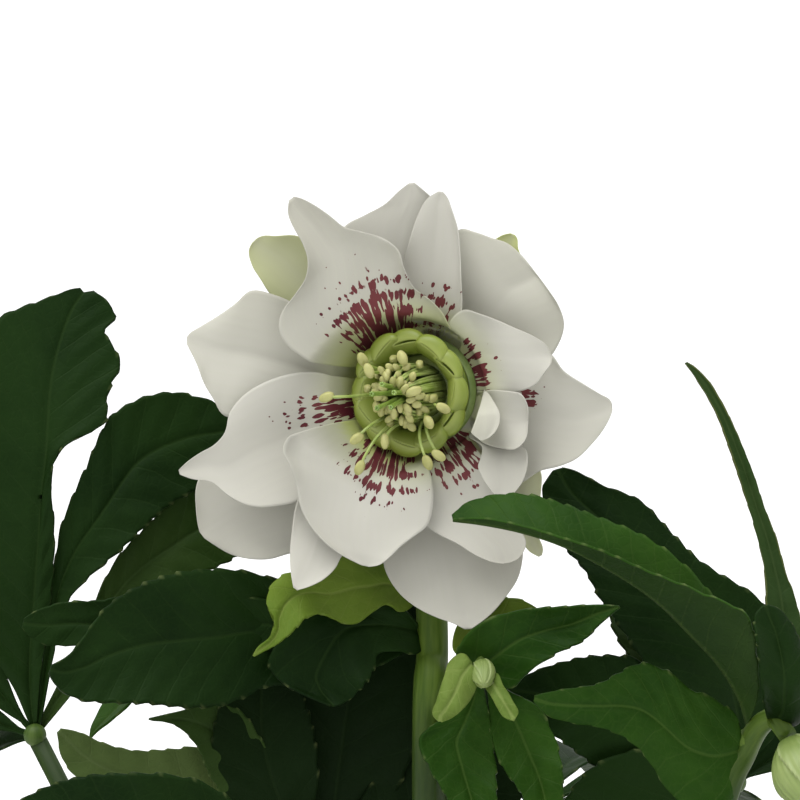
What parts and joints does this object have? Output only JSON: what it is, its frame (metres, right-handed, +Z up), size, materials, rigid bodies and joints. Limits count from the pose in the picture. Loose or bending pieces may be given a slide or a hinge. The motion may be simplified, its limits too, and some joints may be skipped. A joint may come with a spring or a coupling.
{
  "type": "potted hellebore plant",
  "caption": "Double white hellebore in a plain nursery pot: open spotted bloom, nodding buds, leafy stems and serrated basal leaves.",
  "frame": {"origin": "middle of the pot's underside, where it rests", "axes": "+Z up, the open bloom faces -Y, +X to its viewer's right"},
  "size_m": [0.2195, 0.2263, 0.3659],
  "materials": {
    "leaf_green": "satin",
    "stem_green": "satin",
    "tepals": "matte",
    "nectaries": "satin",
    "stamens": "matte",
    "carpels": "satin",
    "bud_green": "satin",
    "pot_plastic": "matte",
    "potting_soil": "matte"
  },
  "bodies": {
    "root": {"basal_leaf_left": "leaf_green", "basal_leaf_back_right": "leaf_green", "basal_leaf_centre": "leaf_green", "basal_leaf_front_left": "leaf_green", "basal_leaf_front_right": "leaf_green", "basal_leaf_back": "leaf_green", "basal_leaf_back_left": "leaf_green", "flower_stem_main": "stem_green", "flower_stem_middle": "stem_green", "flower_stem_right": "stem_green", "flower_stem_back": "stem_green", "bloom_tepals": "tepals", "bloom_nectaries": "nectaries", "bloom_stamens": "stamens", "bloom_carpels": "carpels", "bud_middle": "bud_green", "bud_right": "bud_green", "bud_back": "bud_green", "pot": "pot_plastic", "soil": "potting_soil"}
  },
  "joints": []
}
